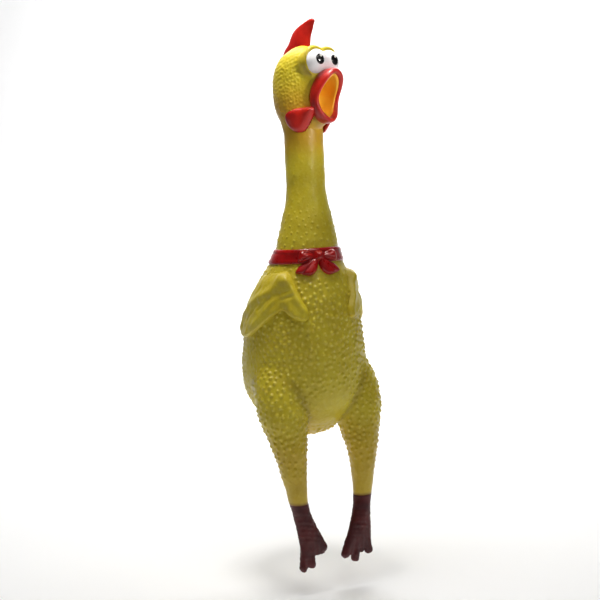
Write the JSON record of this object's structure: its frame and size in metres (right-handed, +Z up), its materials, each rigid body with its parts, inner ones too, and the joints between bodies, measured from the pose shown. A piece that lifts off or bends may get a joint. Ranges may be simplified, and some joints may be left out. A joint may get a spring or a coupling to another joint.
{
  "type": "rubber chicken",
  "caption": "Hollow soft vinyl rubber chicken with a gaping red beak, bulging eyes, ribbon bow, plucked pimpled skin, floppy legs and a reed squeaker in its throat.",
  "frame": {"origin": "on the neck's axis, in the middle of the straight stretch that a hand or clip holds", "axes": "+Z up the neck with the bird hanging upright; the body faces -Y and its right side is at -X"},
  "size_m": [0.1242, 0.127, 0.5001],
  "materials": {
    "yellow_vinyl": "semi-gloss soft vinyl, pimpled",
    "red_paint": "glossy red paint on soft vinyl",
    "ribbon_red": "glossy red paint on a moulded bow",
    "eye_white": "glossy white paint",
    "eye_black": "glossy black paint",
    "mouth_orange": "satin orange paint",
    "foot_maroon": "satin dark maroon paint on soft vinyl",
    "whistle_plastic": "natural moulded plastic",
    "reed_film": "translucent plastic film",
    "seal_rubber": "matte black rubber"
  },
  "bodies": {
    "neck": {"neck_skin": "yellow_vinyl"},
    "head": {"head_skin": "yellow_vinyl", "beak_rim": "red_paint", "mouth_liner": "mouth_orange", "eye_right": "eye_white", "eye_left": "eye_white", "pupil_right": "eye_black", "pupil_left": "eye_black", "wattle_right": "red_paint", "wattle_left": "red_paint", "comb": "red_paint", "whistle_barrel": "whistle_plastic", "whistle_tone_board": "whistle_plastic", "whistle_wedge": "whistle_plastic", "whistle_cap": "whistle_plastic", "whistle_seal": "seal_rubber"},
    "reed": {"whistle_reed": "reed_film"},
    "torso": {"torso_skin": "yellow_vinyl", "wing_right": "yellow_vinyl", "wing_left": "yellow_vinyl", "neck_band": "ribbon_red", "bow_knot": "ribbon_red", "bow_loop_right": "ribbon_red", "bow_loop_left": "ribbon_red", "bow_tail_right": "ribbon_red", "bow_tail_left": "ribbon_red"},
    "back": {"back_panel": "yellow_vinyl"},
    "leg_right": {"leg_right": "yellow_vinyl"},
    "leg_left": {"leg_left": "yellow_vinyl"},
    "foot_right": {"foot_right": "foot_maroon"},
    "foot_left": {"foot_left": "foot_maroon"}
  },
  "joints": [
    {"name": "head_nod", "type": "hinge", "parent": "neck", "child": "head", "pos_m": [0, 0, 0.026], "axis": [0.9511, 0.309, 0], "range_deg": [-25, 25], "stiffness_Nm_per_rad": 1.5},
    {"name": "body_swing", "type": "hinge", "parent": "neck", "child": "torso", "pos_m": [0, 0, -0.05], "axis": [1, 0, 0], "range_deg": [-25, 25], "stiffness_Nm_per_rad": 2},
    {"name": "body_squeeze", "type": "slide", "parent": "torso", "child": "back", "axis": [0, -1, 0], "range_m": [0, 0.016], "stiffness_N_per_m": 400},
    {"name": "reed_flutter", "type": "hinge", "parent": "head", "child": "reed", "pos_m": [-0.00278, 0.00856, 0.0661], "axis": [0.9511, 0.309, 0], "range_deg": [-4, 1.5], "stiffness_Nm_per_rad": 0.0005},
    {"name": "hip_right", "type": "hinge", "parent": "torso", "child": "leg_right", "pos_m": [-0.0375, -0.017, -0.246], "axis": [1, 0, 0], "range_deg": [-30, 22], "stiffness_Nm_per_rad": 0.4},
    {"name": "hip_left", "type": "hinge", "parent": "torso", "child": "leg_left", "pos_m": [0.0375, -0.017, -0.246], "axis": [1, 0, 0], "range_deg": [-30, 22], "stiffness_Nm_per_rad": 0.4},
    {"name": "ankle_right", "type": "hinge", "parent": "leg_right", "child": "foot_right", "pos_m": [-0.033, -0.0235, -0.301], "axis": [1, 0, 0], "range_deg": [-35, 35], "stiffness_Nm_per_rad": 0.08},
    {"name": "ankle_left", "type": "hinge", "parent": "leg_left", "child": "foot_left", "pos_m": [0.033, -0.0235, -0.301], "axis": [1, 0, 0], "range_deg": [-35, 35], "stiffness_Nm_per_rad": 0.08}
  ]
}
